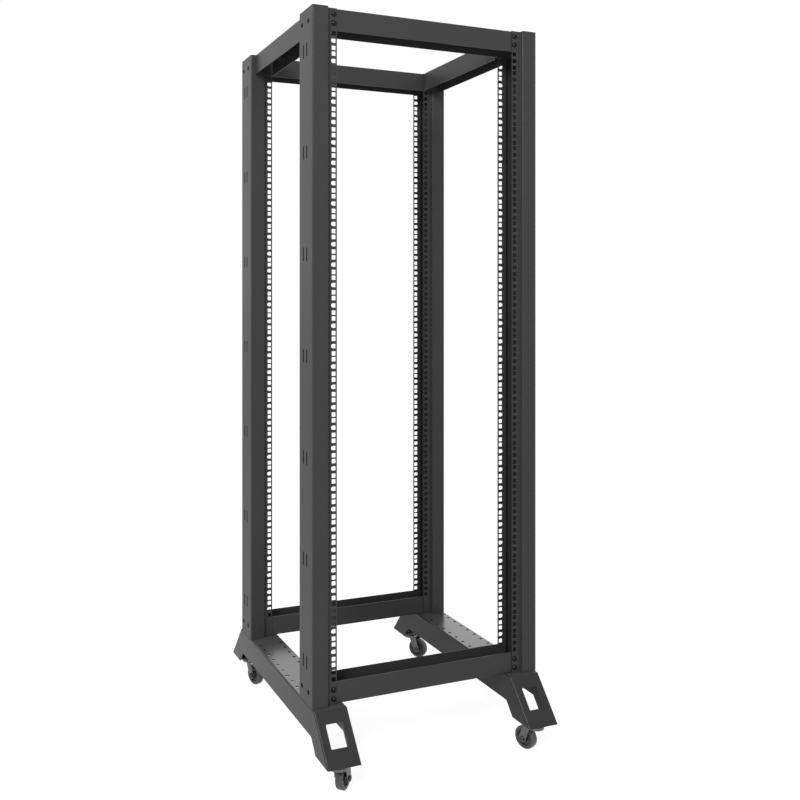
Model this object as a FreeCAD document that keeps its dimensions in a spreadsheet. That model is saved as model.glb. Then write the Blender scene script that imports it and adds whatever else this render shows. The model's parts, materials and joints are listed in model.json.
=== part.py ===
import FreeCAD, Part
import os
import re
import Sketcher

from FreeCAD import Placement, Rotation, Vector

# Four post open frame rack for 19 inch equipment, on two feet with four swivel casters.
# Millimetres. The origin is on the floor under the middle of the rack, the front faces -Y and Z is up.

doc = FreeCAD.newDocument("open_frame_rack")

# Driving dimensions
sheet = doc.addObject("Spreadsheet::Sheet", "sizes")
driving = [
    ("rackUnits", 32, "rack units between the cross rails"),
    ("unitHeight", 44.45, "height of one rack unit"),
    ("holeRowSpan", 465.1, "left to right distance of the hole rows"),
    ("holeFromEdge", 7.55, "inner edge of a flange to its hole row"),
    ("squareHole", 9.5, "side of a cage nut hole"),
    ("frameDepth", 510, "over the front and rear faces of the posts"),
    ("postDepth", 80, "front to back of one post"),
    ("postFace", 38, "width of the plain outer face of a post"),
    ("flangeWidth", 23.5, "width of the holed flange beside the face"),
    ("flangeRecess", 10, "step from the face back to the holed flange"),
    ("postGauge", 2, "sheet of the posts and rails"),
    ("foldRadius", 1, "inside radius of a fold in the posts and rails"),
    ("slotPairs", 7, "pairs of lacing slots up the side of a post"),
    ("slotLength", 30, "length of a lacing slot"),
    ("slotWidth", 3, "width of a lacing slot"),
    ("slotGap", 20, "distance between the two slots of a pair"),
    ("slotEnd", 112, "end of the post to the nearest slot pair"),
    ("slotFromFront", 34, "front face of a post to its first slot"),
    ("sideHole", 8, "diameter of a side bolt hole"),
    ("sideHoleFromFront", 25, "front face of a post to its first side bolt hole"),
    ("sideHoleStep", 38, "distance between the two side bolt holes"),
    ("sideHoleEnd", 29.5, "end of a post to its side bolt holes"),
    ("railHeight", 48.5, "height of a cross rail"),
    ("railEndGap", 2, "cross rail end to the inner return of the post face"),
    ("sideRailHeight", 50, "height of a top side rail"),
    ("sideRailInset", 12, "side rail is inside the outer side of the post"),
    ("footWidth", 78, "width of a foot"),
    ("footHeight", 60, "height of a foot between its legs"),
    ("footGauge", 2.5, "sheet of the feet"),
    ("footFold", 1, "inside radius of a fold in the feet"),
    ("footHole", 8, "diameter of a hole in the foot's top"),
    ("footHoles", 9, "holes in each of the foot's two rows"),
    ("footHoleStep", 33, "distance between the holes of a row"),
    ("footHoleInset", 12, "side of the foot to its hole row"),
    ("legReach", 85, "leg stands out beyond the post face"),
    ("legDrop", 90, "foot top down to the leg's lower edge"),
    ("legFlat", 68, "length of the leg's lower edge"),
    ("legHeel", 8, "leg's heel starts behind the post face"),
    ("windowWidth", 39, "window in the sloped leg"),
    ("windowTop", 22, "foot top to the window's upper edge"),
    ("windowHeight", 39, "upright height of the window"),
    ("windowCorner", 3, "radius of the window's corners"),
    ("toeStart", 8, "flat top of the foot in front of the post face"),
    ("seatLength", 54, "front to back of the seat plate"),
    ("seatFromPost", 22, "post face forward to the seat plate"),
    ("seatGauge", 3, "thickness of the seat plate"),
    ("casterHeight", 72, "seat to floor"),
    ("casterReach", 50, "post face forward to the swivel axis"),
    ("topPlate", 50, "side of the caster's square top plate"),
    ("topPlateGauge", 2.5, "thickness of the caster's top plate"),
    ("kingpin", 10, "diameter of the kingpin"),
    ("kingpinHead", 16, "diameter of the kingpin's head"),
    ("kingpinHeadHeight", 3, "thickness of the kingpin's head"),
    ("raceDiameter", 38, "diameter of the swivel race"),
    ("raceHeight", 5, "race below the top plate"),
    ("swivelGap", 1, "race to the fork's crown"),
    ("pinClearance", 0.05, "radial clearance at pins"),
    ("crownDiameter", 42, "diameter of the fork's crown"),
    ("crownHeight", 8, "height of the fork's crown"),
    ("forkGauge", 2, "sheet of the fork"),
    ("forkInside", 27, "inside width of the fork"),
    ("axleBoss", 10, "radius of the fork round the axle"),
    ("cheekFront", 15, "swivel axis forward to the cheek's front edge"),
    ("cheekBack", 19, "swivel axis back to the cheek's shoulder"),
    ("shoulderRise", 20, "axle up to the rear shoulder of the fork"),
    ("trail", 25, "swivel axis back to the axle"),
    ("wheelDiameter", 52, "over the tread"),
    ("treadWidth", 17, "width of the tread"),
    ("treadEdge", 3, "slope at the edge of the tread"),
    ("treadDepth", 6, "thickness of the tread"),
    ("hubLength", 26, "length of the hub along the axle"),
    ("rimWall", 3, "thickness of the rim under the tread"),
    ("webWidth", 7, "thickness of the wheel's web"),
    ("hubBoss", 16, "diameter of the hub's middle"),
    ("axleDiameter", 8, "diameter of the axle"),
    ("axleHead", 13, "diameter of the axle's heads"),
    ("axleHeadHeight", 3, "thickness of the axle's heads"),
    ("swivelFrontLeft", -47, "resting angle of the front left caster"),
    ("swivelFrontRight", 19, "resting angle of the front right caster"),
    ("swivelRearLeft", 199, "resting angle of the rear left caster"),
    ("swivelRearRight", 217, "resting angle of the rear right caster"),
]
for row, (alias, value, note) in enumerate(driving, start=1):
    sheet.set(f"A{row}", alias)
    sheet.set(f"B{row}", str(value))
    sheet.set(f"C{row}", note)
    sheet.setAlias(f"B{row}", alias)

# Sizes that follow from the driving dimensions
derived = [
    ("postHeight", "=rackUnits * unitHeight + 2 * railHeight"),
    ("clearWidth", "=holeRowSpan - 2 * holeFromEdge"),
    ("postWidth", "=postFace + flangeWidth"),
    ("frameWidth", "=clearWidth + 2 * postWidth"),
    ("holeRow", "=postWidth - holeFromEdge"),
    ("flangeBack", "=flangeRecess + postGauge"),
    ("crossRailDepth", "=postDepth - 2 * flangeBack"),
    ("crossRailLength", "=frameWidth - 2 * (postFace + railEndGap)"),
    ("sideRailWidth", "=postWidth - sideRailInset"),
    ("sideRailLength", "=frameDepth - 2 * postDepth"),
    ("standHeight", "=legDrop + casterHeight"),
    ("casterX", "=(frameWidth - footWidth) / 2"),
    ("casterY", "=frameDepth / 2 + casterReach"),
    ("crownTop", "=topPlateGauge + raceHeight + swivelGap"),
    ("axleDrop", "=casterHeight - wheelDiameter / 2"),
    ("forkOutside", "=forkInside + 2 * forkGauge"),
    ("pinEnd", "=crownTop + forkGauge + swivelGap"),
    ("rimRadius", "=wheelDiameter / 2 - treadDepth"),
    ("toeRun", "=legReach - toeStart"),
    ("slopeAcross", "=footGauge * sqrt(toeRun ^ 2 + legDrop ^ 2) / legDrop"),
    ("slotStep", "=(postHeight - 2 * slotEnd) / (slotPairs - 1)"),
]
firstDerived = len(driving) + 1
for row, (alias, formula) in enumerate(derived, start=firstDerived):
    sheet.set(f"A{row}", alias)
    sheet.set(f"B{row}", formula)
    sheet.setAlias(f"B{row}", alias)
doc.recompute()


def bound(formula):
    """A formula in the sheet's words, with each word pointed at the sheet."""
    return re.sub(r"[A-Za-z]\w*", lambda word: "sizes." + word.group(), formula)


def number(formula):
    value = sheet.evalExpression(bound(formula))
    return float(getattr(value, "Value", value))


def new_body(name):
    body = doc.addObject("PartDesign::Body", name)
    body.Label = name
    return body


def place(body, across, back, up, turn=0, about=Vector(0, 0, 1)):
    """Stands a body at formulas for x, y and z, turned by an angle or by a formula for it."""
    angle = number(turn) if isinstance(turn, str) else turn
    body.Placement = Placement(Vector(number(across), number(back), number(up)), Rotation(about, angle))
    for letter, formula in (("x", across), ("y", back), ("z", up)):
        body.setExpression(f"Placement.Base.{letter}", bound(formula))
    if isinstance(turn, str):
        body.setExpression("Placement.Rotation.Angle", bound(turn))


def origin_part(body, role):
    return next(item for item in body.Origin.OriginFeatures if item.Role == role)


def new_sketch(body, role, name, shift=("0", "0", "0")):
    """A sketch on an origin plane of its body, moved by formulas along its own axes."""
    sketch = body.newObject("Sketcher::SketchObject", name)
    sketch.AttachmentSupport = [(origin_part(body, role), "")]
    sketch.MapMode = "FlatFace"
    for letter, formula in zip("xyz", shift):
        if formula != "0":
            sketch.setExpression(f"AttachmentOffset.Base.{letter}", bound(formula))
    return sketch


def hold(sketch, geometry, point, across, up):
    """Ties one point of a sketch to two formulas."""
    for kind, formula in (("DistanceX", across), ("DistanceY", up)):
        measure = Sketcher.Constraint(kind, -1, 1, geometry, point, number(formula))
        index = sketch.addConstraint(measure)
        sketch.setExpression(f"Constraints[{index}]", bound(formula))


def add_outline(sketch, corners):
    """A closed outline through corners given as pairs of formulas."""
    points = [Vector(number(across), number(up), 0) for across, up in corners]
    first = sketch.GeometryCount
    count = len(points)
    for index, start in enumerate(points):
        sketch.addGeometry(Part.LineSegment(start, points[(index + 1) % count]), False)
    for index in range(count):
        following = first + (index + 1) % count
        sketch.addConstraint(Sketcher.Constraint("Coincident", first + index, 2, following, 1))
    for index, (across, up) in enumerate(corners):
        hold(sketch, first + index, 1, across, up)


def add_rectangle(sketch, left, low, right, high):
    add_outline(sketch, [(left, low), (right, low), (right, high), (left, high)])


def add_circle(sketch, across, up, diameter):
    centre = Vector(number(across), number(up), 0)
    circle = sketch.addGeometry(Part.Circle(centre, Vector(0, 0, 1), number(diameter) / 2), False)
    hold(sketch, circle, 3, across, up)
    index = sketch.addConstraint(Sketcher.Constraint("Diameter", circle, number(diameter)))
    sketch.setExpression(f"Constraints[{index}]", bound(diameter))


def pad(body, sketch, length, centred=False, backward=False):
    feature = body.newObject("PartDesign::Pad", sketch.Name + "_pad")
    feature.Profile = sketch
    feature.Midplane = centred
    feature.Reversed = backward
    feature.setExpression("Length", bound(length))
    sketch.Visibility = False
    return feature


def pocket(body, sketch, length=None, centred=False, backward=False):
    """Cuts a sketch into its body, right through where no length is given."""
    feature = body.newObject("PartDesign::Pocket", sketch.Name + "_pocket")
    feature.Profile = sketch
    feature.Midplane = centred
    feature.Reversed = backward
    if length is None:
        feature.Type = "ThroughAll"
    else:
        feature.setExpression("Length", bound(length))
    sketch.Visibility = False
    return feature


def round_edges(body, feature, radius, wanted):
    """Rounds each straight edge of a feature whose two ends pass a test, in the body's own frame."""
    feature.recompute(True)
    names = []
    for index, edge in enumerate(feature.Shape.Edges, start=1):
        points = [vertex.Point for vertex in edge.Vertexes]
        if len(points) == 2 and wanted(*points):
            names.append(f"Edge{index}")
    rounded = body.newObject("PartDesign::Fillet", f"{feature.Name}_rounded")
    rounded.Base = (feature, names)
    rounded.setExpression("Radius", bound(radius))
    feature.Visibility = False
    return rounded


def near(value, formula):
    return abs(value - number(formula)) < 1e-4


def along(axis, places):
    """A test for edges along one axis that pass through one of the places, given as pairs of formulas."""
    across, up = [letter for letter in "xyz" if letter != axis]

    def wanted(*ends):
        return any(all(near(getattr(end, across), first) and near(getattr(end, up), second) for end in ends)
                   for first, second in places)
    return wanted


def revolve(body, sketch, axis):
    feature = body.newObject("PartDesign::Revolution", sketch.Name + "_turned")
    feature.Profile = sketch
    feature.ReferenceAxis = (sketch, [axis])
    feature.Angle = 360
    sketch.Visibility = False
    return feature


def repeat(body, feature, step, count, axis="Z_Axis"):
    """Repeats a feature along an axis of its body."""
    row = body.newObject("PartDesign::LinearPattern", feature.Name + "_row")
    row.Originals = [feature]
    row.Direction = (origin_part(body, axis), [""])
    row.Mode = "Spacing"
    row.setExpression("Offset", bound(step))
    row.setExpression("Occurrences", bound(count))
    body.Tip = row
    return row


# One post: a single folded sheet, open towards the rack's middle.
# Its own origin is the outer front corner of its foot end, X runs inwards and Y backwards.
def build_post(name, across, back, turn):
    body = new_body(name)
    place(body, across, back, "standHeight", turn)

    section = new_sketch(body, "XY_Plane", name + "_section")
    front = [
        ("0", "0"),
        ("postFace", "0"),
        ("postFace", "flangeRecess"),
        ("postWidth", "flangeRecess"),
        ("postWidth", "flangeBack"),
        ("postFace - postGauge", "flangeBack"),
        ("postFace - postGauge", "postGauge"),
        ("postGauge", "postGauge"),
    ]
    rear = [(across_, f"postDepth - ({back_})") for across_, back_ in reversed(front)]
    add_outline(section, front + rear)
    folded = pad(body, section, "postHeight")

    # The sheet's folds: a wide radius outside each one and a tight one inside it
    wide = [front[0], front[1], front[5]]
    tight = [front[7], front[6], front[2]]
    for places, radius in ((wide, "foldRadius + postGauge"), (tight, "foldRadius")):
        both_ends = places + [(across_, f"postDepth - ({back_})") for across_, back_ in places]
        folded = round_edges(body, folded, radius, along("z", both_ends))

    # Three cage nut holes in each rack unit, in the front and the rear flange at once
    squares = new_sketch(body, "XZ_Plane", name + "_squares")
    for share in ("1 / 7", "1 / 2", "6 / 7"):
        middle = f"railHeight + unitHeight * {share}"
        add_rectangle(squares, "holeRow - squareHole / 2", f"{middle} - squareHole / 2",
                      "holeRow + squareHole / 2", f"{middle} + squareHole / 2")
    unit_holes = pocket(body, squares)
    repeat(body, unit_holes, "unitHeight", "rackUnits")

    # Pairs of lacing slots up the side wall
    slots = new_sketch(body, "YZ_Plane", name + "_slots")
    for middle in ("slotFromFront", "slotFromFront + slotGap"):
        add_rectangle(slots, f"{middle} - slotWidth / 2", "slotEnd - slotLength / 2",
                      f"{middle} + slotWidth / 2", "slotEnd + slotLength / 2")
    slot_pair = pocket(body, slots, "2 * postGauge", backward=True)
    repeat(body, slot_pair, "slotStep", "slotPairs")

    bolts = new_sketch(body, "YZ_Plane", name + "_side_holes")
    for middle in ("sideHoleFromFront", "sideHoleFromFront + sideHoleStep"):
        add_circle(bolts, middle, "sideHoleEnd", "sideHole")
        add_circle(bolts, middle, "postHeight - sideHoleEnd", "sideHole")
    pocket(body, bolts, "2 * postGauge", backward=True)
    return body


# The two folds of a channel that runs along one axis with its web on top
def round_channel(body, folded, axis, half, inner):
    outside = [(f"-{half}", "0"), (half, "0")]
    inside = [(f"-{inner}", "-postGauge"), (inner, "-postGauge")]
    folded = round_edges(body, folded, "foldRadius + postGauge", along(axis, outside))
    round_edges(body, folded, "foldRadius", along(axis, inside))


# A cross rail: a channel behind the left and right flanges, its web on the outer end of the posts.
# Its own origin is the middle of the web's outer face.
def build_cross_rail(name, back, up, flipped):
    body = new_body(name)
    place(body, "0", back, up, 180 if flipped else 0, Vector(1, 0, 0))

    section = new_sketch(body, "YZ_Plane", name + "_section")
    half = "crossRailDepth / 2"
    inner = f"({half} - postGauge)"
    add_outline(section, [
        (f"-{half}", "0"),
        (f"-{half}", "-railHeight"),
        (f"-{inner}", "-railHeight"),
        (f"-{inner}", "-postGauge"),
        (inner, "-postGauge"),
        (inner, "-railHeight"),
        (half, "-railHeight"),
        (half, "0"),
    ])
    folded = pad(body, section, "crossRailLength", centred=True)
    round_channel(body, folded, "x", half, inner)
    return body


# A top side rail: a channel open below, between the front and the rear post.
def build_side_rail(name, across):
    body = new_body(name)
    place(body, across, "0", "standHeight + postHeight")

    section = new_sketch(body, "XZ_Plane", name + "_section")
    half = "sideRailWidth / 2"
    inner = f"({half} - postGauge)"
    add_outline(section, [
        (f"-{half}", "0"),
        (f"-{half}", "-sideRailHeight"),
        (f"-{inner}", "-sideRailHeight"),
        (f"-{inner}", "-postGauge"),
        (inner, "-postGauge"),
        (inner, "-sideRailHeight"),
        (half, "-sideRailHeight"),
        (half, "0"),
    ])
    folded = pad(body, section, "sideRailLength", centred=True)
    round_channel(body, folded, "y", half, inner)
    return body


def foot_folds(top, low, toe):
    """A test for the side folds of a foot's outer or inner skin: along its top and down its slopes."""
    def wanted(start, end):
        first, second = sorted((start, end), key=lambda point: -point.z)
        if not near(first.z, top) or not near(abs(first.y), toe) or abs(first.x - second.x) > 1e-4:
            return False
        along_top = near(second.z, top) and near(abs(second.y), toe)
        down_slope = near(second.z, low) and abs(second.y) > abs(first.y)
        return along_top or down_slope
    return wanted


# A foot: a channel open below under the two posts of one side, with a sloped leg at each end.
# Its own origin is the middle of its top.
def build_foot(name, across):
    body = new_body(name)
    place(body, across, "0", "standHeight")

    side = new_sketch(body, "YZ_Plane", name + "_side")
    half = "frameDepth / 2"
    front = [
        (f"-({half} + toeStart)", "0"),
        (f"-({half} + legReach)", "-legDrop"),
        (f"-({half} + legReach - legFlat)", "-legDrop"),
        (f"-({half} - legHeel)", "-footHeight"),
    ]
    rear = [(back_[1:], up_) for back_, up_ in reversed(front)]
    add_outline(side, front + rear)
    folded = pad(body, side, "footWidth", centred=True)
    outer_toe = f"{half} + toeStart"
    round_edges(body, folded, "footFold + footGauge", foot_folds("0", "-legDrop", outer_toe))

    # The hollow runs out of the bottom and keeps the sheet's thickness at the top and the slopes
    hollow = new_sketch(body, "YZ_Plane", name + "_hollow")
    inner_toe = f"{half} + toeStart - slopeAcross"
    high = f"({inner_toe} + toeRun * footGauge / legDrop)"
    low = f"({inner_toe} + toeRun * (legDrop + footGauge) / legDrop)"
    add_outline(hollow, [
        (f"-{high}", "-footGauge"),
        (f"-{low}", "-(legDrop + footGauge)"),
        (low, "-(legDrop + footGauge)"),
        (high, "-footGauge"),
    ])
    folded = pocket(body, hollow, "footWidth - 2 * footGauge", centred=True)
    round_edges(body, folded, "footFold", foot_folds("-footGauge", "-legDrop", high))

    windows = new_sketch(body, "XZ_Plane", name + "_windows")
    add_rectangle(windows, "-windowWidth / 2", "-(windowTop + windowHeight)",
                  "windowWidth / 2", "-windowTop")
    cut = pocket(body, windows, centred=True)
    window_corners = [(across_, up_) for across_ in ("-windowWidth / 2", "windowWidth / 2")
                      for up_ in ("-windowTop", "-(windowTop + windowHeight)")]
    round_edges(body, cut, "windowCorner", along("y", window_corners))

    # Two rows of round holes in the top between the posts
    holes = new_sketch(body, "XY_Plane", name + "_holes")
    for across_ in ("-(footWidth / 2 - footHoleInset)", "footWidth / 2 - footHoleInset"):
        add_circle(holes, across_, "-footHoleStep * (footHoles - 1) / 2", "footHole")
    hole_pair = pocket(body, holes, "2 * footGauge")
    repeat(body, hole_pair, "footHoleStep", "footHoles", "Y_Axis")
    return body


# The seat welded across a leg, which a caster is bolted under.
# It is drawn for a front leg, with its origin under the post's outer face, and turned for a rear leg.
def build_seat(name, across, back, turn):
    body = new_body(name)
    place(body, across, back, "casterHeight", turn)
    outline = new_sketch(body, "XY_Plane", name + "_outline")
    half = "(footWidth / 2 - footGauge)"
    add_rectangle(outline, f"-{half}", "-(seatFromPost + seatLength)", half, "-seatFromPost")
    pad(body, outline, "seatGauge")
    return body


# The caster's fixed top plate with its race and the kingpin
def build_top_plate(name, spot):
    body = new_body(name)
    place(body, *spot)
    outline = new_sketch(body, "XY_Plane", name + "_outline")
    add_rectangle(outline, "-topPlate / 2", "-topPlate / 2", "topPlate / 2", "topPlate / 2")
    pad(body, outline, "topPlateGauge", backward=True)

    race = new_sketch(body, "XZ_Plane", name + "_race")
    add_outline(race, [
        ("0", "-topPlateGauge / 2"),
        ("raceDiameter / 2", "-topPlateGauge / 2"),
        ("raceDiameter / 2", "-(topPlateGauge + raceHeight)"),
        ("kingpin / 2", "-(topPlateGauge + raceHeight)"),
        ("kingpin / 2", "-pinEnd"),
        ("kingpinHead / 2", "-pinEnd"),
        ("kingpinHead / 2", "-(pinEnd + kingpinHeadHeight)"),
        ("0", "-(pinEnd + kingpinHeadHeight)"),
    ])
    revolve(body, race, "V_Axis")
    return body


# The fork: a crown that turns on the kingpin and two cheeks down to the axle
def build_fork(name, spot):
    body = new_body(name)
    place(body, *spot)
    crown = new_sketch(body, "XY_Plane", name + "_crown", ("0", "0", "-crownTop"))
    add_circle(crown, "0", "0", "crownDiameter")
    pad(body, crown, "crownHeight", backward=True)

    cheeks = new_sketch(body, "YZ_Plane", name + "_cheeks")
    add_outline(cheeks, [
        ("-cheekFront", "-(crownTop + forkGauge)"),
        ("trail - axleBoss", "-axleDrop"),
        ("trail + axleBoss", "-axleDrop"),
        ("trail + axleBoss", "-(axleDrop - shoulderRise)"),
        ("cheekBack", "-(crownTop + forkGauge)"),
    ])
    pad(body, cheeks, "forkOutside", centred=True)
    boss = new_sketch(body, "YZ_Plane", name + "_boss")
    add_circle(boss, "trail", "-axleDrop", "2 * axleBoss")
    pad(body, boss, "forkOutside", centred=True)

    gap = new_sketch(body, "XZ_Plane", name + "_gap")
    add_rectangle(gap, "-forkInside / 2", "-casterHeight", "forkInside / 2", "-(crownTop + forkGauge)")
    pocket(body, gap, centred=True)
    pin_hole = new_sketch(body, "XY_Plane", name + "_pin_hole")
    add_circle(pin_hole, "0", "0", "kingpin + 2 * pinClearance")
    pocket(body, pin_hole)
    axle_hole = new_sketch(body, "YZ_Plane", name + "_axle_hole")
    add_circle(axle_hole, "trail", "-axleDrop", "axleDiameter")
    pocket(body, axle_hole, centred=True)
    return body


def turned_on_axle(name, spot, corners):
    """A piece turned about the wheel's axle, drawn from pairs of place along it and radius."""
    body = new_body(name)
    place(body, *spot)
    profile = new_sketch(body, "XY_Plane", name + "_profile", ("0", "trail", "-axleDrop"))
    add_outline(profile, corners)
    revolve(body, profile, "H_Axis")
    return body


def mirrored(half_profile):
    """A half profile from its outer end to the middle, with its mirror image after it."""
    return half_profile + [(f"-({along})", radius) for along, radius in reversed(half_profile)]


def build_axle(name, spot):
    return turned_on_axle(name, spot, mirrored([
        ("forkOutside / 2 + axleHeadHeight", "0"),
        ("forkOutside / 2 + axleHeadHeight", "axleHead / 2"),
        ("forkOutside / 2", "axleHead / 2"),
        ("forkOutside / 2", "axleDiameter / 2"),
    ]))


def build_hub(name, spot):
    return turned_on_axle(name, spot, mirrored([
        ("hubLength / 2", "axleDiameter / 2 + pinClearance"),
        ("hubLength / 2", "hubBoss / 2"),
        ("webWidth / 2", "hubBoss / 2"),
        ("webWidth / 2", "rimRadius - rimWall"),
        ("treadWidth / 2", "rimRadius - rimWall"),
        ("treadWidth / 2", "rimRadius"),
    ]))


def build_tyre(name, spot):
    return turned_on_axle(name, spot, mirrored([
        ("treadWidth / 2", "rimRadius"),
        ("treadWidth / 2", "wheelDiameter / 2 - treadEdge"),
        ("treadWidth / 2 - treadEdge", "wheelDiameter / 2"),
    ]))


parts = []
sides = {"left": "-", "right": ""}
ends = {"front": "-", "rear": ""}

for end, back_sign in ends.items():
    for side, across_sign in sides.items():
        corner = f"{end}_{side}"
        turned = side == "right"
        if end == "front":
            post_back = "-frameDepth / 2 + postDepth" if turned else "-frameDepth / 2"
        else:
            post_back = "frameDepth / 2" if turned else "frameDepth / 2 - postDepth"
        post_turn = 180 if turned else 0
        parts.append(build_post(f"post_{corner}", f"{across_sign}frameWidth / 2", post_back, post_turn))

for end, back_sign in ends.items():
    rail_back = f"{back_sign}(frameDepth - postDepth) / 2"
    parts.append(build_cross_rail(f"top_rail_{end}", rail_back, "standHeight + postHeight", False))
    parts.append(build_cross_rail(f"bottom_rail_{end}", rail_back, "standHeight", True))

for side, across_sign in sides.items():
    rail_across = f"{across_sign}(frameWidth / 2 - sideRailInset - sideRailWidth / 2)"
    parts.append(build_side_rail(f"top_side_rail_{side}", rail_across))
    parts.append(build_foot(f"foot_{side}", f"{across_sign}casterX"))

swivels = {
    "front_left": "swivelFrontLeft",
    "front_right": "swivelFrontRight",
    "rear_left": "swivelRearLeft",
    "rear_right": "swivelRearRight",
}
for end, back_sign in ends.items():
    for side, across_sign in sides.items():
        corner = f"{end}_{side}"
        seat_turn = 0 if end == "front" else 180
        across = f"{across_sign}casterX"
        parts.append(build_seat(f"seat_{corner}", across, f"{back_sign}frameDepth / 2", seat_turn))
        still = (across, f"{back_sign}casterY", "casterHeight")
        turning = still + (swivels[corner],)
        parts.append(build_top_plate(f"caster_plate_{corner}", still))
        parts.append(build_fork(f"caster_fork_{corner}", turning))
        parts.append(build_axle(f"caster_axle_{corner}", turning))
        parts.append(build_hub(f"caster_hub_{corner}", turning))
        parts.append(build_tyre(f"caster_tyre_{corner}", turning))

doc.recompute()

broken = [item.Name for item in doc.Objects if {"Invalid", "Error"} & set(item.State)]
broken += [body.Label for body in parts if body.Shape.isNull() or not body.Shape.isValid()]
broken += [body.Label for body in parts if len(body.Shape.Solids) != 1]
if broken:
    raise SystemExit("failed: " + ", ".join(broken))

os.makedirs("parts", exist_ok=True)
for body in parts:
    body.Shape.exportStep(f"parts/{body.Label}.step")
print(len(parts), "pieces written")
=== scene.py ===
import json
import math

import bmesh
import bpy
from mathutils import Matrix, Vector
from mathutils.geometry import delaunay_2d_cdt


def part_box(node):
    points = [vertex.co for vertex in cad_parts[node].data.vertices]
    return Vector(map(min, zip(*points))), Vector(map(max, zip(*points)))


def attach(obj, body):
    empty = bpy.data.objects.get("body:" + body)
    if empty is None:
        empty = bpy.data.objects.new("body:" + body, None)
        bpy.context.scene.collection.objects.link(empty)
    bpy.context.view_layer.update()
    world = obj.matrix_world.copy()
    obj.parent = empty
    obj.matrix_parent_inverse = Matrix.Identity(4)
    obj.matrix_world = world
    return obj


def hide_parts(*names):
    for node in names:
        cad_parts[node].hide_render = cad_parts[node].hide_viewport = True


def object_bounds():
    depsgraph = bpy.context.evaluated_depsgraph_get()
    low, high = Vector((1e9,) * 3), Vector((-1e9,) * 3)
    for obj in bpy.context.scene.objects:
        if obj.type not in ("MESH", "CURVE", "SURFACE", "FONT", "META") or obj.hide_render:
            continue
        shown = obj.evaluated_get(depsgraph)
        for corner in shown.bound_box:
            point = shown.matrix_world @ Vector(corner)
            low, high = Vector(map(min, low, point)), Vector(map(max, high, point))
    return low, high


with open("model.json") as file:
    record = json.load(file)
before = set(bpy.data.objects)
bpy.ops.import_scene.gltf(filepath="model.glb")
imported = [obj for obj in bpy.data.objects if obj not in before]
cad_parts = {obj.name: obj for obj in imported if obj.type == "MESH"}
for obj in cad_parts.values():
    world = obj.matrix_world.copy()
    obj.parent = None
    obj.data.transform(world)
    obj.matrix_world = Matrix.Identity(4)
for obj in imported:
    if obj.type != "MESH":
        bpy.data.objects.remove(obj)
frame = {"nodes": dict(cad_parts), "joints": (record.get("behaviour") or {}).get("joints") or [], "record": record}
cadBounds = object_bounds()
nodes = frame["nodes"]
sides = {"left": -1, "right": 1}
ends = {"front": -1, "rear": 1}
corners = [(end, side) for end in ends for side in sides]
print("frame loaded")


# Shader maths: a value in a material's tree that can be added, subtracted and multiplied
class Wire:
    def __init__(self, paint, socket):
        self.paint = paint
        self.socket = socket

    def join(self, operation, first, second):
        return self.paint.node("ShaderNodeMath", {"operation": operation}, {0: first, 1: second})

    def __add__(self, other):
        return self.join("ADD", self, other)

    def __radd__(self, other):
        return self.join("ADD", other, self)

    def __sub__(self, other):
        return self.join("SUBTRACT", self, other)

    def __rsub__(self, other):
        return self.join("SUBTRACT", other, self)

    def __mul__(self, other):
        return self.join("MULTIPLY", self, other)

    def __rmul__(self, other):
        return self.join("MULTIPLY", other, self)


# A material and the node tree that it is painted with
class Paint:
    def __init__(self, material):
        self.material = material
        material.use_nodes = True
        self.tree = material.node_tree

    def node(self, kind, settings, sockets, output=0):
        made = self.tree.nodes.new(kind)
        for setting, value in settings.items():
            setattr(made, setting, value)
        self.feed(made, sockets)
        return Wire(self, made.outputs[output])

    def feed(self, made, sockets):
        for label, value in sockets.items():
            if isinstance(value, Wire):
                self.tree.links.new(value.socket, made.inputs[label])
            else:
                made.inputs[label].default_value = value

    def noise(self, size, detail):
        place = self.node("ShaderNodeTexCoord", {}, {}, "Object")
        return self.node("ShaderNodeTexNoise", {}, {"Vector": place, "Scale": 1 / size, "Detail": detail})

    def blend(self, share, low, high):
        return self.node("ShaderNodeMix", {"data_type": "RGBA"}, {0: share, 6: low, 7: high}, 2)

    def bump(self, height, distance, strength):
        return self.node("ShaderNodeBump", {}, {"Height": height, "Distance": distance, "Strength": strength})

    def shader(self, sockets):
        self.feed(self.tree.nodes["Principled BSDF"], sockets)


def newPaint(name):
    return Paint(bpy.data.materials.new(name))


def grey(tone):
    return (tone, tone, tone, 1)


# Black powder coat on the posts and rails, a smoother one on the feet with painted light on what lies, and a
# near-black painted shade on the posts' punched and cut edges
coat = {
    "low": (0.042, 0.042, 0.043, 1),
    "high": (0.060, 0.060, 0.061, 1),
    "roughness": 0.32,
    "gloss": 0.18,
    # painted shade for the posts' rims: near black, so that slots, holes and cut edges look dark
    "edgeShadeLow": (0.006, 0.006, 0.006, 1),
    "edgeShadeHigh": (0.012, 0.012, 0.012, 1),
    "edgeShadeGloss": 0.05,
    "footLow": (0.026, 0.026, 0.027, 1),
    "footHigh": (0.040, 0.040, 0.041, 1),
    "footRoughness": 0.20,
    "footGloss": 0.20,
    "lyingFrom": 0.85,  # Z of the normal from which a face starts to count as lying
    "lyingFull": 0.99,
    "paintedTopLight": (0.12, 0.12, 0.12, 1),  # painted light: a pale grey on what lies, standing in for the light from above
    "paintedTopLightShare": 0.6,
    "paintedTopLightLeast": 0.7,
    "paintedTopLightSwing": 0.6,  # more or less painted light with the clouds
    "topGloss": 0.95,  # the coat levelled out to a gloss on what lies
    "topRoughness": 0.28,
    "topIor": 1.78,
    "roughnessSwing": 0.10,
    "grainSize": 0.0012,  # the coat's orange peel
    "grainHeight": 0.00005,
    "grainStrength": 0.5,
    "cloudSize": 0.16,  # slow change over a sheet
    "grainShare": 0.55,
    "detail": 3.0,
}


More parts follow.
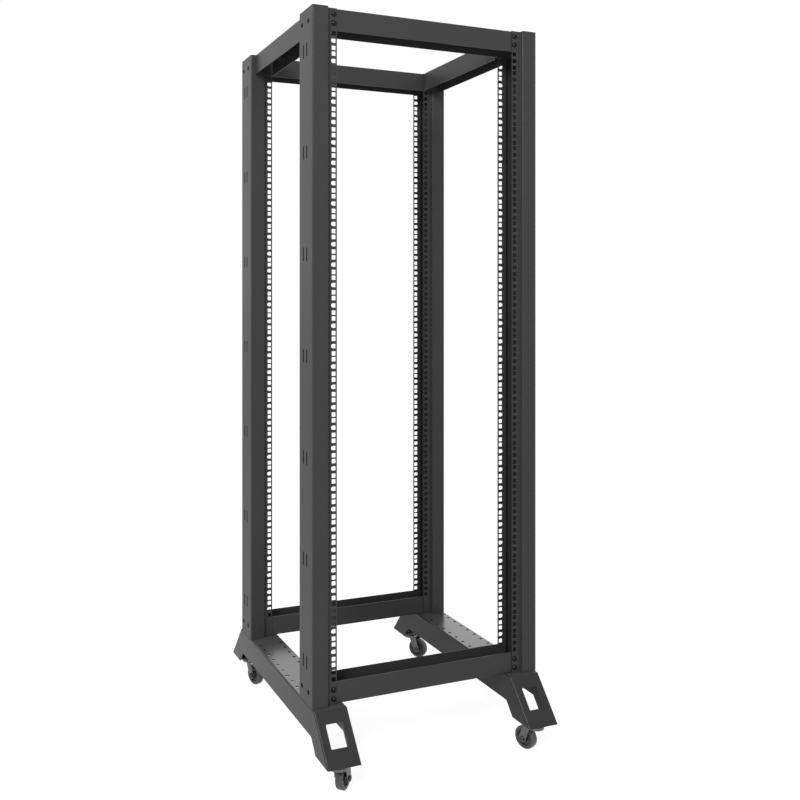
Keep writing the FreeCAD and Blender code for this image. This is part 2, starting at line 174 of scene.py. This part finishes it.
def makeCoat(name, low, high, roughness, gloss, levelled):
    paint = newPaint(name)
    grain = paint.noise(coat["grainSize"], coat["detail"])
    cloud = paint.noise(coat["cloudSize"], coat["detail"])
    colour = paint.blend(grain * coat["grainShare"] + cloud * (1 - coat["grainShare"]), low, high)
    if levelled:
        way = paint.node("ShaderNodeNewGeometry", {}, {}, "Normal")
        up = paint.node("ShaderNodeSeparateXYZ", {}, {"Vector": way}, "Z")
        lying = paint.node("ShaderNodeMapRange", {},
                           {"Value": up, "From Min": coat["lyingFrom"], "From Max": coat["lyingFull"]})
        # painted light: faces that lie are blended towards a pale grey, standing in for the light that falls on
        # them from above
        paintedTopLightAmount = lying * coat["paintedTopLightShare"] * (coat["paintedTopLightLeast"] + coat["paintedTopLightSwing"] * cloud)
        colour = paint.blend(paintedTopLightAmount, colour, coat["paintedTopLight"])
        paint.shader({"Coat Weight": lying * coat["topGloss"], "Coat Roughness": coat["topRoughness"],
                      "Coat IOR": coat["topIor"]})
    paint.shader({"Base Color": colour, "Specular IOR Level": gloss,
                  "Normal": paint.bump(grain, coat["grainHeight"], coat["grainStrength"]),
                  "Roughness": roughness + coat["roughnessSwing"] * (cloud - 0.5)})
    return paint.material


# Zinc plate: bright on the forks, darker on axles, bolts and nuts, darker too on the caster plates as painted
# shade under the feet, and blackened on the rails' screws
zinc = {
    "low": (0.10, 0.103, 0.108, 1),
    "high": (0.24, 0.24, 0.243, 1),
    "boltShade": 0.5,
    "screwShade": 0.18,
    "roughness": 0.20,
    "screwRoughness": 0.10,
    "roughnessSwing": 0.10,
    "flowerSize": 0.006,
    "flowerDetail": 4.0,
    "grainSize": 0.0008,
    "grainDetail": 2.0,
    "grainHeight": 0.00003,
    "grainStrength": 1.0,
}


def makeZinc(name, shade, roughness):
    paint = newPaint(name)
    flower = paint.noise(zinc["flowerSize"], zinc["flowerDetail"])
    grain = paint.noise(zinc["grainSize"], zinc["grainDetail"])
    low = tuple(shade * tone for tone in zinc["low"][:3]) + (1,)
    high = tuple(shade * tone for tone in zinc["high"][:3]) + (1,)
    paint.shader({"Base Color": paint.blend(flower, low, high), "Metallic": 1.0,
                  "Normal": paint.bump(grain, zinc["grainHeight"], zinc["grainStrength"]),
                  "Roughness": roughness + zinc["roughnessSwing"] * (flower - 0.5)})
    return paint.material


# Grey rubber tread and dark moulded wheel
wheelFinish = {
    "treadLow": (0.060, 0.060, 0.061, 1),
    "treadHigh": (0.11, 0.11, 0.11, 1),
    "coreLow": (0.030, 0.030, 0.031, 1),
    "coreHigh": (0.055, 0.055, 0.055, 1),
    "treadRoughness": 0.17,
    "coreRoughness": 0.25,
    "roughnessSwing": 0.15,
    "scuffSize": 0.004,
    "scuffDetail": 5.0,
    "scuffHeight": 0.00004,
    "scuffStrength": 1.0,
}


def makeMoulding(name, low, high, roughness):
    paint = newPaint(name)
    scuff = paint.noise(wheelFinish["scuffSize"], wheelFinish["scuffDetail"])
    paint.shader({"Base Color": paint.blend(scuff, low, high),
                  "Normal": paint.bump(scuff, wheelFinish["scuffHeight"], wheelFinish["scuffStrength"]),
                  "Roughness": roughness + wheelFinish["roughnessSwing"] * (scuff - 0.5)})
    return paint.material


finishes = {
    "frame_coat": makeCoat("frame coat", coat["low"], coat["high"], coat["roughness"], coat["gloss"], False),
    "foot_coat": makeCoat("foot coat", coat["footLow"], coat["footHigh"], coat["footRoughness"],
                          coat["footGloss"], True),
    "edge_shade": makeCoat("edge shade", coat["edgeShadeLow"], coat["edgeShadeHigh"], coat["roughness"],
                          coat["edgeShadeGloss"], False),
    "zinc": makeZinc("zinc", 1.0, zinc["roughness"]),
    "wheel_core": makeMoulding("wheel core", wheelFinish["coreLow"], wheelFinish["coreHigh"],
                               wheelFinish["coreRoughness"]),
    "wheel_tread": makeMoulding("wheel tread", wheelFinish["treadLow"], wheelFinish["treadHigh"],
                                wheelFinish["treadRoughness"]),
    "bolt": makeZinc("bolt zinc", zinc["boltShade"], zinc["roughness"]),
    "screw": makeZinc("screw black", zinc["screwShade"], zinc["screwRoughness"]),
}
print("finishes made")

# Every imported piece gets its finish, and all but the posts get softly rounded edges
packed = {
    "edgeRound": 0.0004,
    "edgeSteps": 2,
    "edgeAngle": 40,  # degrees from which an edge is rounded
}


def roundEdges(piece, width):
    bevel = piece.modifiers.new("rounded edges", "BEVEL")
    bevel.width = width
    bevel.segments = packed["edgeSteps"]
    bevel.limit_method = "ANGLE"
    bevel.angle_limit = math.radians(packed["edgeAngle"])
    bevel.miter_outer = "MITER_ARC"
    evening = piece.modifiers.new("even shading", "WEIGHTED_NORMAL")
    evening.keep_sharp = True


slotOf = {part["node"]: part["material_slot"] for part in frame["record"]["subparts"]}
for name, piece in nodes.items():
    piece.data.materials.clear()
    # the caster plates take the darker bolt zinc, as painted shade under the feet
    piece.data.materials.append(finishes["bolt" if name.startswith("caster_plate") else slotOf[name]])
    if not name.startswith("post"):
        roundEdges(piece, packed["edgeRound"])


def addPiece(name, mesh, finish, body):
    piece = bpy.data.objects.new(name, mesh)
    bpy.context.scene.collection.objects.link(piece)
    mesh.materials.append(finishes[finish])
    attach(piece, body)
    return piece


# Posts: each is one folded sheet, with its holes punched in the flats
post = {
    "face": 0.038,  # plain outer face
    "recess": 0.010,  # face back to the holed flange
    "gauge": 0.002,
    "fold": 0.001,  # inside radius of a fold
    "foldSteps": 6,
    "rowSpan": 0.4651,  # left to right row of holes
    "unit": 0.04445,
    "unitHoles": (1 / 7, 1 / 2, 6 / 7),  # places of a unit's three holes in it
    "endLength": 0.0485,  # post's end to the first unit
    "hole": 0.0095,
    "bulge": 0.0014,  # the middle hole's round side stands out
    "arcSteps": 12,
    "slotPairs": 7,
    "slotLength": 0.030,
    "slotWidth": 0.005,
    "slotGap": 0.020,
    "slotEnd": 0.090,
    "slotFromFront": 0.034,
    "sideHole": 0.011,
    "sideHoleFromFront": 0.025,
    "sideHoleStep": 0.038,
    "sideHoleEnd": 0.0295,
    "rim": 0.0003,  # rounding of the punched edges
    "weld": 1e-6,  # points closer than this are one
}
perMillimetre = 0.001


def arcPoints(across, up, radius, start, turn, steps):
    angles = [start + turn * step / steps for step in range(steps + 1)]
    return [(across + radius * math.cos(angle), up + radius * math.sin(angle)) for angle in angles]


def roundHole(across, up, diameter):
    return arcPoints(across, up, diameter / 2, 0, 2 * math.pi, 2 * post["arcSteps"])[:-1]


def squareHole(across, up, side):
    half = side / 2
    return [(across - half, up - half), (across + half, up - half),
            (across + half, up + half), (across - half, up + half)]


def bulgedHole(across, up, side):
    # square towards the rack's middle and round towards the post's face
    half = side / 2
    arc = arcPoints(across - post["bulge"], up, half, math.pi / 2, math.pi, post["arcSteps"])
    return [(across + half, up - half), (across + half, up + half)] + arc


def slotHole(across, up, width, length):
    straight = (length - width) / 2
    steps = post["arcSteps"] // 2
    return (arcPoints(across, up + straight, width / 2, 0, math.pi, steps)
            + arcPoints(across, up - straight, width / 2, math.pi, math.pi, steps))


def fillFlat(sheet, place, low, high, height, holes):
    # one flat between two folds, with its holes left open, worked out in millimetres
    loops = [[(low, 0), (high, 0), (high, height), (low, height)]] + [loop[::-1] for loop in holes]
    points = []
    outlines = []
    for loop in loops:
        outlines.append(list(range(len(points), len(points) + len(loop))))
        points += [Vector(point) / perMillimetre for point in loop]
    filled = delaunay_2d_cdt(points, [], outlines, 2, 1e-4)  # triangles, with the holes left out
    made = [sheet.verts.new(place(point * perMillimetre)) for point in filled[0]]
    for face in filled[2]:
        sheet.faces.new([made[index] for index in face])


def foldSheet(section, gauge, fold, height, holes):
    # a sheet folded along upright lines, given by its visible side with the metal on its right
    sheet = bmesh.new()
    points = [Vector(point) for point in section]
    rests = [points[0]]
    for before, corner, after in zip(points, points[1:], points[2:]):
        into = (corner - before).normalized()
        out = (after - corner).normalized()
        inside = into.cross(out) > 0
        radius = fold if inside else fold + gauge
        start = corner - into * radius
        finish = corner + out * radius
        middle = start + out * radius
        turn = math.pi / 2 if inside else -math.pi / 2
        first = math.atan2(start.y - middle.y, start.x - middle.x)
        arc = arcPoints(middle.x, middle.y, radius, first, turn, post["foldSteps"])
        for (x1, y1), (x2, y2) in zip(arc, arc[1:]):
            sheet.faces.new([sheet.verts.new(spot) for spot in
                             ((x1, y1, 0), (x2, y2, 0), (x2, y2, height), (x1, y1, height))])
        rests += [start, finish]
    rests.append(points[-1])
    for flat in range(len(rests) // 2):
        start, finish = rests[2 * flat], rests[2 * flat + 1]
        sideways = abs(finish.x - start.x) > abs(finish.y - start.y)
        if sideways:
            low, high = sorted((start.x, finish.x))
            fillFlat(sheet, lambda spot: (spot.x, start.y, spot.y), low, high, height, holes.get(flat, []))
        else:
            low, high = sorted((start.y, finish.y))
            fillFlat(sheet, lambda spot: (start.x, spot.x, spot.y), low, high, height, holes.get(flat, []))
    bmesh.ops.remove_doubles(sheet, verts=sheet.verts, dist=post["weld"])
    bmesh.ops.recalc_face_normals(sheet, faces=sheet.faces)
    return sheet


def makePostSheet(width, depth, height, row):
    face, recess = post["face"], post["recess"]
    section = [(width, recess), (face, recess), (face, 0), (0, 0),
               (0, depth), (face, depth), (face, depth - recess), (width, depth - recess)]
    units = round((height - 2 * post["endLength"]) / post["unit"])
    flange = []
    for unit in range(units):
        low = post["endLength"] + unit * post["unit"]
        first, middle, last = [low + post["unit"] * share for share in post["unitHoles"]]
        flange.append(squareHole(row, first, post["hole"]))
        flange.append(bulgedHole(row, middle, post["hole"]))
        flange.append(squareHole(row, last, post["hole"]))
    wall = []
    slotStep = (height - 2 * post["slotEnd"]) / (post["slotPairs"] - 1)
    for pair in range(post["slotPairs"]):
        up = post["slotEnd"] + pair * slotStep
        for back in (post["slotFromFront"], post["slotFromFront"] + post["slotGap"]):
            wall.append(slotHole(back, up, post["slotWidth"], post["slotLength"]))
    for back in (post["sideHoleFromFront"], post["sideHoleFromFront"] + post["sideHoleStep"]):
        for up in (post["sideHoleEnd"], height - post["sideHoleEnd"]):
            wall.append(roundHole(back, up, post["sideHole"]))
    # of the section's seven flats the first and last are the flanges, and the middle one is the side wall
    return foldSheet(section, post["gauge"], post["fold"], height, {0: flange, 3: wall, 6: flange})


def makePosts():
    low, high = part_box("post_front_left")
    size = high - low
    outer = cadBounds[1][0] - post["rowSpan"] / 2
    sheet = makePostSheet(size.x, size.y, size.z, outer)
    outside = min(sheet.faces, key=lambda part: part.calc_center_median().x)
    if outside.normal.x < 0:
        bmesh.ops.reverse_faces(sheet, faces=sheet.faces)  # the metal goes on the inner side
    for part in sheet.faces:
        part.smooth = True
    for end, side in corners:
        name = f"post_{end}_{side}"
        low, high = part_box(name)
        mesh = bpy.data.meshes.new(name + "_sheet")
        sheet.to_mesh(mesh)
        if side == "left":
            mesh.transform(Matrix.Translation(low))
        else:
            mesh.transform(Matrix.Translation((high.x, high.y, low.z)) @ Matrix.Rotation(math.pi, 4, "Z"))
        piece = addPiece(name + "_sheet", mesh, "frame_coat", "frame")
        metal = piece.modifiers.new("sheet metal", "SOLIDIFY")
        metal.thickness = post["gauge"]
        metal.offset = 1
        metal.use_even_offset = True
        # the rims of the sheet and of its holes take the near-black painted shade
        mesh.materials.append(finishes["edge_shade"])
        metal.material_offset_rim = 1
        roundEdges(piece, post["rim"])
        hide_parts(name)
    sheet.free()


makePosts()
print("posts made")

# Screws, bolts and nuts: rings round an axis, in millimetres, each ring round or six-sided
fastener = {
    "steps": 24,  # round each ring
    "screwEnds": (12.5, 32.5),  # post's end to the two screws of a rail
    "screwHead": 10.4,
    "screwRise": 3.4,
    "screwSteps": 4,  # over the domed head
    "screwRim": 0.1,
    "screwSocket": 4.6,  # across the corners
    "socketLip": 1.15,  # the flat round the socket, to the socket
    "socketDepth": 2.0,
    "washer": 12.6,
    "washerHeight": 1.1,
    "washerUpright": 0.8,  # share of its height below the chamfer
    "washerChamfer": 0.3,
    "nut": 11.5,  # across the corners
    "nutHeight": 5.0,
    "nutUpright": 0.85,  # share of its height below the crown
    "nutCrown": 0.86,
    "nutRim": 0.2,
    "bolt": 6.0,
    "boltEnd": 3.0,  # bolt past its nut
    "boltUpright": 0.75,  # share of that below the tip
    "boltTip": 0.8,
    "boltHead": 11.5,
    "boltHeadHeight": 3.8,
    "boltFromPlateEdge": 6.5,
}


def addTurned(mesh, profile, stand, steps=fastener["steps"]):
    # rings of (radius, height) along the placing matrix's Z; a third value of 6 makes one a hexagon
    rings = []
    for radius, height, *flats in profile:
        if radius == 0:
            rings.append([mesh.verts.new(stand @ Vector((0, 0, height * perMillimetre)))] * steps)
            continue
        ring = []
        for step in range(steps):
            angle = 2 * math.pi * step / steps
            reach = radius * perMillimetre
            if flats:
                reach *= math.cos(math.pi / 6) / math.cos(angle % (math.pi / 3) - math.pi / 6)
            spot = (reach * math.cos(angle), reach * math.sin(angle), height * perMillimetre)
            ring.append(mesh.verts.new(stand @ Vector(spot)))
        rings.append(ring)
    for low, high in zip(rings, rings[1:]):
        for step in range(steps):
            after = (step + 1) % steps
            loop = [low[step], low[after], high[after], high[step]]
            mesh.faces.new(list(dict.fromkeys(loop)))


def facing(direction, spot):
    # a placing matrix whose Z points in a direction
    return Matrix.Translation(spot) @ Vector(direction).to_track_quat("Z", "Y").to_matrix().to_4x4()


def finishPiece(name, mesh, finish, body, edgeRound):
    bmesh.ops.recalc_face_normals(mesh, faces=mesh.faces)
    for part in mesh.faces:
        part.smooth = True
    made = bpy.data.meshes.new(name)
    mesh.to_mesh(made)
    mesh.free()
    piece = addPiece(name, made, finish, body)
    roundEdges(piece, edgeRound * perMillimetre)
    return piece


def screwProfile():
    washer, head = fastener["washer"] / 2, fastener["screwHead"] / 2
    base, socket = fastener["washerHeight"], fastener["screwSocket"] / 2
    profile = [(washer, 0), (washer, base * fastener["washerUpright"]),
               (washer - fastener["washerChamfer"], base), (head, base)]
    top = math.acos(socket * fastener["socketLip"] / head)
    for step in range(fastener["screwSteps"] + 1):
        angle = top * step / fastener["screwSteps"]
        profile.append((head * math.cos(angle), base + fastener["screwRise"] * math.sin(angle)))
    rim = profile[-1][1]
    floor = rim - fastener["socketDepth"]
    return profile + [(socket, rim, 6), (socket, floor, 6), (0, floor)]


def nutProfile(across, height, boltEnd):
    reach, bolt = across / 2, fastener["bolt"] / 2
    profile = [(reach, 0, 6), (reach, height * fastener["nutUpright"], 6),
               (reach * fastener["nutCrown"], height), (bolt, height)]
    if boltEnd:
        profile += [(bolt, height + boltEnd * fastener["boltUpright"]),
                    (bolt * fastener["boltTip"], height + boltEnd)]
    return profile + [(0, height + boltEnd)]


def makeRailScrews():
    for end, side in corners:
        low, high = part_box(f"post_{end}_{side}")
        row = sides[side] * post["rowSpan"] / 2
        mesh = bmesh.new()
        flange = low.y + post["recess"] if end == "front" else high.y - post["recess"]
        for fromEnd in fastener["screwEnds"]:
            for up in (low.z + fromEnd * perMillimetre, high.z - fromEnd * perMillimetre):
                addTurned(mesh, screwProfile(), facing((0, ends[end], 0), (row, flange, up)))
        finishPiece(f"rail_screws_{end}_{side}", mesh, "screw", "frame", fastener["screwRim"])


def makeCasterBolts():
    for end, side in corners:
        plateLow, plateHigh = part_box(f"caster_plate_{end}_{side}")
        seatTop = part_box(f"seat_{end}_{side}")[1].z
        gauge = caster["plateGauge"] * perMillimetre
        inset = fastener["boltFromPlateEdge"] * perMillimetre
        nuts = bmesh.new()
        heads = bmesh.new()
        for across in (plateLow.x + inset, plateHigh.x - inset):
            for back in (plateLow.y + inset, plateHigh.y - inset):
                addTurned(nuts, nutProfile(fastener["nut"], fastener["nutHeight"], fastener["boltEnd"]),
                          facing((0, 0, 1), (across, back, seatTop)))
                addTurned(heads, nutProfile(fastener["boltHead"], fastener["boltHeadHeight"], 0),
                          facing((0, 0, -1), (across, back, plateHigh.z - gauge)))
        finishPiece(f"caster_nuts_{end}_{side}", nuts, "bolt", "frame", fastener["nutRim"])
        finishPiece(f"caster_bolts_{end}_{side}", heads, "bolt", "frame", fastener["nutRim"])


# Casters: fork, axle, tyre and hub, in millimetres from the swivel axis, with the trail along Y
caster = {
    "plateGauge": 2.5,
    "crown": 42.0,  # diameter of the fork's crown
    "crownTop": 63.5,
    "crownLow": 55.5,
    "crownEye": 11.0,  # hole round the kingpin
    "crownSheet": 2.0,
    "crownShoulder": ((3.0, 0.0), (1.0, 0.7), (0.0, 2.4)),  # in from the side and down from the top
    "crownLip": 1.0,
    "cheekInside": 13.5,
    "cheekSheet": 2.0,
    "cheekFront": 4.0,  # front edge at the crown
    "cheekRear": 23.0,
    "cheekBoss": 9.0,  # radius round the axle
    "cheekOverlap": 2.0,  # into the crown
    "bossSteps": 14,
    "forkRim": 0.4,
    "trail": 25.0,
    "axleUp": 26.0,
    "axle": 8.0,
    "axleHead": 13.0,  # across the corners
    "axleHeadHeight": 3.0,
    "axleLength": 37.0,  # over the head and the nut
    "axleChamfer": 0.6,
    "axleCrown": 0.84,  # the round end of the head and the nut, to their corners
    "axleStub": 0.5,  # rod past the nut
    "axleNutChamfer": 0.4,
    "axleTip": (0.5, 0.1),  # chamfer of the rod's tip, in from its side and back from its end
    "wheel": 52.0,
    "tread": 17.0,
    "treadRound": 3.0,
    "treadRoundSteps": 5,
    "treadDepth": 6.0,
    "treadChamfer": (0.8, 0.6),  # out along the side and in from it, where the tread meets the rim
    "wheelSteps": 72,
    "wheelRim": 0.2,
    "hubLength": 26.0,
    "hubChamfer": 0.8,
    "boreClearance": 0.05,
    "rim": 3.0,
    "rimInner": (0.4, 0.6),  # chamfer of its inner edge, out from it and in from the side
    "rimRoot": ((1.2, 0.8), (2.2, 0.0)),  # in from the rim and up from the web
    "web": 7.0,
    "boss": 16.0,
    "bossRoot": ((2.5, 0.0), (1.2, 0.8)),  # out from the boss and up from the web
}


def casterStand(end, side):
    # the swivel axis on the floor, turned so that Y is the trail
    joints = {joint["name"]: Vector(joint["pos_m"]) for joint in frame["joints"]}
    swivel, roll = joints[f"swivel_{end}_{side}"], joints[f"roll_{end}_{side}"]
    trail = roll - swivel
    angle = math.atan2(-trail.x, trail.y)
    return Matrix.Translation((swivel.x, swivel.y, 0)) @ Matrix.Rotation(angle, 4, "Z")


def wheelStand(stand):
    middle = Vector((0, caster["trail"], caster["axleUp"])) * perMillimetre
    return stand @ Matrix.Translation(middle) @ Matrix.Rotation(math.pi / 2, 4, "Y")


def tangentAngle(spot, middle, radius, way):
    away = Vector(spot) - Vector(middle)
    return math.atan2(away.y, away.x) + way * math.acos(radius / away.length)


def cheekOutline():
    middle, radius = (caster["trail"], caster["axleUp"]), caster["cheekBoss"]
    up = caster["crownLow"] + caster["cheekOverlap"]
    front, rear = (caster["cheekFront"], up), (caster["cheekRear"], up)
    first = tangentAngle(front, middle, radius, 1)
    last = tangentAngle(rear, middle, radius, -1) + 2 * math.pi
    return [rear, front] + arcPoints(*middle, radius, first, last - first, caster["bossSteps"])


def addCheek(mesh, stand, side):
    inside = side * caster["cheekInside"]
    outside = side * (caster["cheekInside"] + caster["cheekSheet"])
    loops = []
    for across in (inside, outside):
        loops.append([mesh.verts.new(stand @ (Vector((across, back, up)) * perMillimetre))
                      for back, up in cheekOutline()])
        mesh.faces.new(loops[-1])
    count = len(loops[0])
    for step in range(count):
        after = (step + 1) % count
        mesh.faces.new([loops[0][step], loops[0][after], loops[1][after], loops[1][step]])


def crownProfile():
    radius, eye, sheet = caster["crown"] / 2, caster["crownEye"] / 2, caster["crownSheet"]
    top, low = caster["crownTop"], caster["crownLow"]
    shoulder = [(radius - into, top - down) for into, down in caster["crownShoulder"]]
    inner = [(radius - sheet, low), (radius - sheet, top - sheet), (eye, top - sheet), (eye, top)]
    return [(eye, top)] + shoulder + [(radius, low + caster["crownLip"])] + inner


def mirrored(profile):
    # the other half of a wheel's closed outline, and its first point again
    return profile + [(reach, -along) for reach, along in reversed(profile)] + [profile[0]]


def treadProfile():
    half, radius, curve = caster["tread"] / 2, caster["wheel"] / 2, caster["treadRound"]
    inner = radius - caster["treadDepth"]
    out, into = caster["treadChamfer"]
    profile = [(inner, half - into), (inner + out, half), (radius - curve, half)]
    for step in range(1, caster["treadRoundSteps"] + 1):
        angle = math.pi / 2 * step / caster["treadRoundSteps"]
        profile.append((radius - curve + curve * math.sin(angle), half - curve + curve * math.cos(angle)))
    return mirrored(profile)


def hubProfile():
    web, boss, chamfer = caster["web"] / 2, caster["boss"] / 2, caster["hubChamfer"]
    outer = caster["wheel"] / 2 - caster["treadDepth"]
    rim = outer - caster["rim"]
    half, length = caster["tread"] / 2, caster["hubLength"] / 2
    bore = caster["axle"] / 2 + caster["boreClearance"]
    out, into = caster["rimInner"]
    profile = [(outer, half - chamfer), (outer - chamfer, half), (rim + out, half), (rim, half - into)]
    profile += [(rim - away, web + up) for away, up in caster["rimRoot"]]
    profile += [(boss + away, web + up) for away, up in caster["bossRoot"]]
    profile += [(boss, length - chamfer), (boss - chamfer, length), (bore, length)]
    return mirrored(profile)


def axleProfile():
    half, head, rod = caster["axleLength"] / 2, caster["axleHead"] / 2, caster["axle"] / 2
    inner = half - caster["axleHeadHeight"]
    crown, chamfer = head * caster["axleCrown"], caster["axleChamfer"]
    nutTop = half - caster["axleStub"]
    into, back = caster["axleTip"]
    return [(0, -half), (crown, -half), (head, -half + chamfer, 6), (head, -inner, 6), (rod, -inner),
            (rod, inner), (head, inner, 6), (head, nutTop - caster["axleNutChamfer"], 6), (crown, nutTop),
            (rod, nutTop), (rod, half - back), (rod - into, half), (0, half)]


def makeCasters():
    for end, side in corners:
        name = f"{end}_{side}"
        stand = casterStand(end, side)
        wheel = wheelStand(stand)

        fork = bmesh.new()
        addTurned(fork, crownProfile(), stand)
        addCheek(fork, stand, -1)
        addCheek(fork, stand, 1)
        piece = finishPiece(f"fork_{name}", fork, "zinc", f"caster_{name}", caster["forkRim"])
        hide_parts(f"caster_fork_{name}")

        axle = bmesh.new()
        addTurned(axle, axleProfile(), wheel)
        piece = finishPiece(f"axle_{name}", axle, "bolt", f"caster_{name}", caster["wheelRim"])
        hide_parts(f"caster_axle_{name}")

        rounds = (("tyre", treadProfile(), "wheel_tread"), ("hub", hubProfile(), "wheel_core"))
        for part, profile, slot in rounds:
            turned = bmesh.new()
            addTurned(turned, profile, wheel, caster["wheelSteps"])
            piece = finishPiece(f"{part}_{name}", turned, slot, f"wheel_{name}", caster["wheelRim"])
            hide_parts(f"caster_{part}_{name}")


makeRailScrews()
makeCasterBolts()
makeCasters()
print("screws, bolts and casters made")

# Studio: a white floor and backdrop and soft even light
studio = {
    "floorSize": 60.0,
    "floorBounce": 0.80,  # light that the floor throws back on the rack
    "floorSeen": 0.42,  # the floor as the camera sees it
    "floorLift": 0.84,  # lifts it to the backdrop's white, short of the shadow
    "floorGlossy": 0.45,  # share of what the camera sees that reflections show
    "floorRoughness": 0.9,
    "skyLow": 0.34,  # light from near the floor
    "skyHigh": 0.52,  # light from above
    "skyFrom": -0.2,  # Z of the direction where the sky starts to brighten
    "keyPower": 98.0,
    "keySize": 1.4,
    "keySpot": (-2.45, -2.65, 3.0),
    "aim": (0, 0, 0.85),
}


def seenRay(paint, share):
    # 1 for what the camera sees, straight on or through glass, a share in reflections and 0 for plain light
    camera = paint.node("ShaderNodeLightPath", {}, {}, "Is Camera Ray")
    glossy = paint.node("ShaderNodeLightPath", {}, {}, "Is Glossy Ray")
    clear = paint.node("ShaderNodeLightPath", {}, {}, "Is Transmission Ray")
    seen = paint.node("ShaderNodeMath", {"operation": "MAXIMUM"}, {0: camera, 1: glossy * share})
    return paint.node("ShaderNodeMath", {"operation": "MAXIMUM"}, {0: seen, 1: clear})


def makeFloor():
    paint = newPaint("floor")
    seen = seenRay(paint, studio["floorGlossy"])
    tone = paint.blend(seen, grey(studio["floorBounce"]), grey(studio["floorSeen"]))
    lift = paint.blend(seen, grey(0), grey(studio["floorLift"]))
    paint.shader({"Base Color": tone, "Emission Color": lift, "Emission Strength": 1.0,
                  "Roughness": studio["floorRoughness"], "Specular IOR Level": 0.0})
    half = studio["floorSize"] / 2
    mesh = bpy.data.meshes.new("floor")
    mesh.from_pydata([(-half, -half, 0), (half, -half, 0), (half, half, 0), (-half, half, 0)],
                     [], [(0, 1, 2, 3)])
    floor = bpy.data.objects.new("floor", mesh)
    bpy.context.scene.collection.objects.link(floor)
    mesh.materials.append(paint.material)


def makeWorld():
    world = bpy.data.worlds.new("studio")
    bpy.context.scene.world = world
    paint = Paint(world)
    seen = seenRay(paint, 1.0)
    direction = paint.node("ShaderNodeTexCoord", {}, {}, "Generated")
    up = paint.node("ShaderNodeSeparateXYZ", {}, {"Vector": direction}, "Z")
    rise = paint.node("ShaderNodeMapRange", {},
                      {"Value": up, "From Min": studio["skyFrom"], "From Max": 1.0,
                       "To Min": studio["skyLow"], "To Max": studio["skyHigh"]})
    strength = rise * (1 - seen) + seen
    paint.feed(paint.tree.nodes["Background"], {"Color": grey(1.0), "Strength": strength})


def makeLamp(name, spot, power, size):
    light = bpy.data.lights.new(name, "AREA")
    light.energy = power
    light.size = size
    lamp = bpy.data.objects.new(name, light)
    lamp.location = spot
    lamp.rotation_euler = (Vector(studio["aim"]) - Vector(spot)).to_track_quat("-Z", "Y").to_euler()
    bpy.context.scene.collection.objects.link(lamp)


# The photograph's camera, level, with its middle away from the frame's
view = {
    "spot": (-1.001, -2.045, 1.045),
    "yaw": 21.32,  # degrees to the right of straight back
    "focal": 897.0,  # in pixels of the photograph
    "middle": (305.6, 299.8),
    "picture": 800,
    "sensor": 36.0,
}


def makeCamera():
    camera = bpy.data.cameras.new("camera")
    camera.sensor_width = view["sensor"]
    camera.lens = view["focal"] * view["sensor"] / view["picture"]
    half = view["picture"] / 2
    camera.shift_x = (half - view["middle"][0]) / view["picture"]
    camera.shift_y = (view["middle"][1] - half) / view["picture"]
    holder = bpy.data.objects.new("camera", camera)
    holder.location = view["spot"]
    holder.rotation_euler = (math.radians(90), 0, -math.radians(view["yaw"]))
    bpy.context.scene.collection.objects.link(holder)
    bpy.context.scene.camera = holder


makeFloor()
makeWorld()
makeLamp("key", studio["keySpot"], studio["keyPower"], studio["keySize"])
makeCamera()
bpy.context.scene.view_settings.view_transform = "Standard"
print("studio made")
